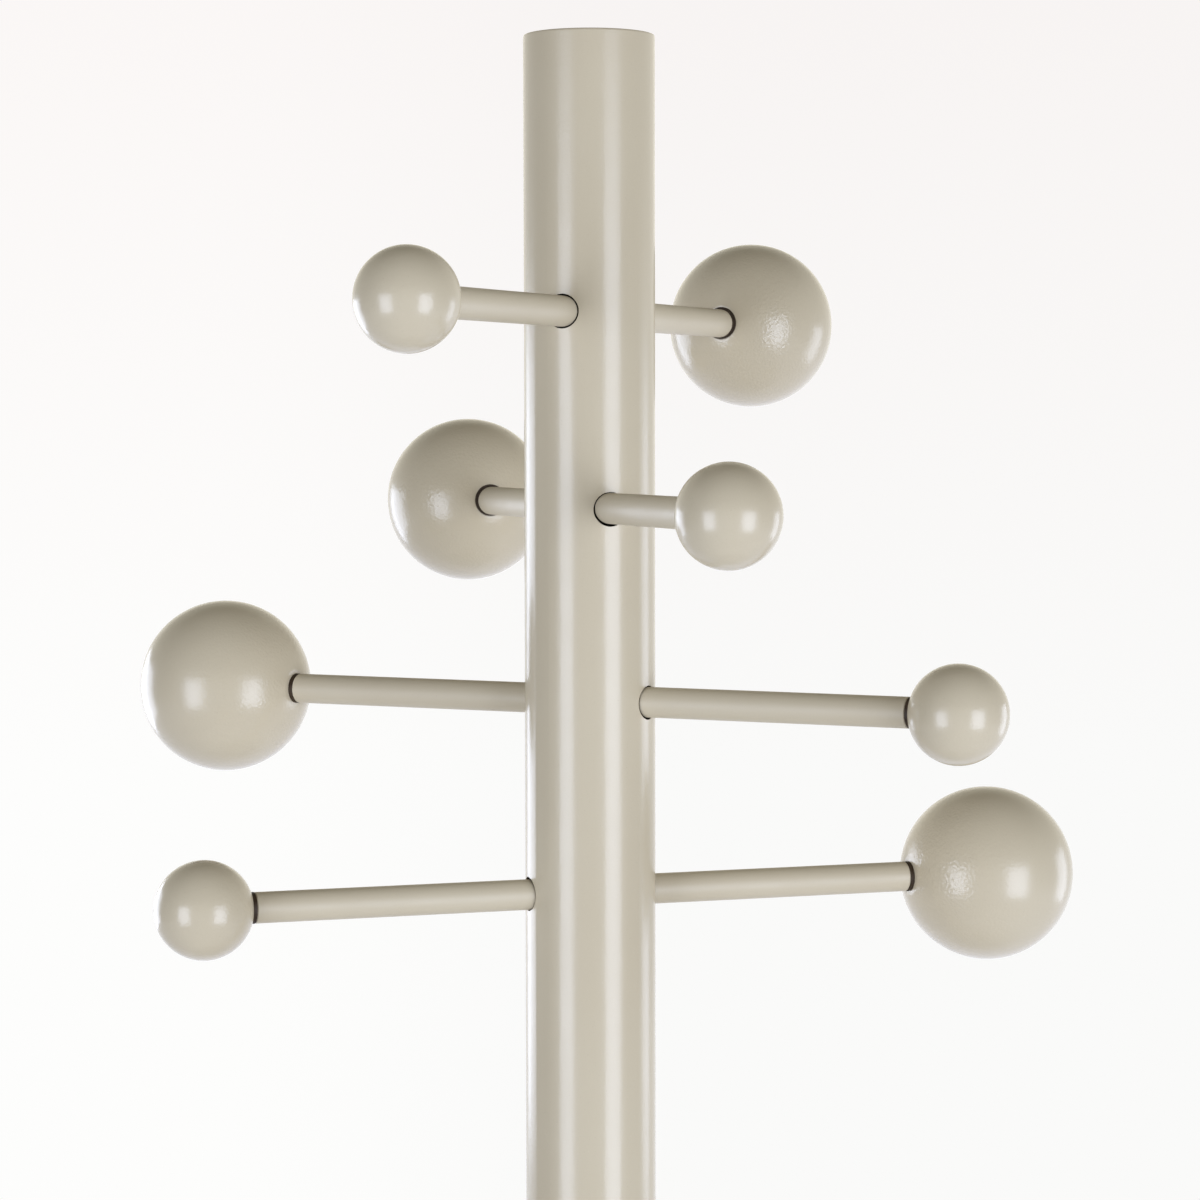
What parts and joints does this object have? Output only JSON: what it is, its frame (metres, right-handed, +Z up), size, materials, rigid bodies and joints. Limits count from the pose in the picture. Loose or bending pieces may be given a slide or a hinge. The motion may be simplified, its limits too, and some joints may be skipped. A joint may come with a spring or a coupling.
{
  "type": "standing coat rack",
  "caption": "Free-standing coat rack: round pole on a disc base, with horizontal through-rods at different turns, each ending in a large ball and a small ball.",
  "frame": {"origin": "on the pole's axis at floor level, under the middle of the base", "axes": "+Z up along the pole; the second arm from the top has its small ball towards -Y and its large ball towards +Y; +X is to the right seen from -Y"},
  "size_m": [0.4447, 0.4447, 1.75],
  "materials": {
    "pole_paint": "satin powder coat, warm light greige",
    "arm_paint": "satin powder coat, warm light greige",
    "base_paint": "satin powder coat, warm light greige",
    "ball_lacquer": "opaque semi-gloss lacquer with slight orange peel, warm light greige",
    "black_washer": "matt",
    "steel_fixing": "zinc plated",
    "brass_insert": "turned",
    "glide_plastic": "matt"
  },
  "bodies": {
    "rack": {"base_plate": "base_paint", "foot_plug": "steel_fixing", "base_bolt": "steel_fixing", "base_washer": "steel_fixing", "base_dowel": "steel_fixing", "lower_pole": "pole_paint", "pole_coupler": "steel_fixing", "coupler_screws": "steel_fixing", "upper_pole": "pole_paint", "top_cap": "pole_paint", "arm_1": "arm_paint", "arm_2": "arm_paint", "arm_3": "arm_paint", "arm_4": "arm_paint", "arm_lock_screws": "steel_fixing", "ball_studs": "steel_fixing", "ball_inserts": "brass_insert", "ball_washers": "black_washer", "large_ball_1": "ball_lacquer", "large_ball_2": "ball_lacquer", "large_ball_3": "ball_lacquer", "large_ball_4": "ball_lacquer", "small_ball_1": "ball_lacquer", "small_ball_2": "ball_lacquer", "small_ball_3": "ball_lacquer", "small_ball_4": "ball_lacquer"},
    "glide_1": {"glide_1_foot": "glide_plastic", "glide_1_stud": "steel_fixing"},
    "glide_2": {"glide_2_foot": "glide_plastic", "glide_2_stud": "steel_fixing"},
    "glide_3": {"glide_3_foot": "glide_plastic", "glide_3_stud": "steel_fixing"},
    "glide_4": {"glide_4_foot": "glide_plastic", "glide_4_stud": "steel_fixing"}
  },
  "joints": [
    {"name": "glide_1_screw", "type": "slide", "parent": "rack", "child": "glide_1", "axis": [0, 0, 1], "range_m": [-0.005, 0]},
    {"name": "glide_2_screw", "type": "slide", "parent": "rack", "child": "glide_2", "axis": [0, 0, 1], "range_m": [-0.005, 0]},
    {"name": "glide_3_screw", "type": "slide", "parent": "rack", "child": "glide_3", "axis": [0, 0, 1], "range_m": [-0.005, 0]},
    {"name": "glide_4_screw", "type": "slide", "parent": "rack", "child": "glide_4", "axis": [0, 0, 1], "range_m": [-0.005, 0]}
  ]
}
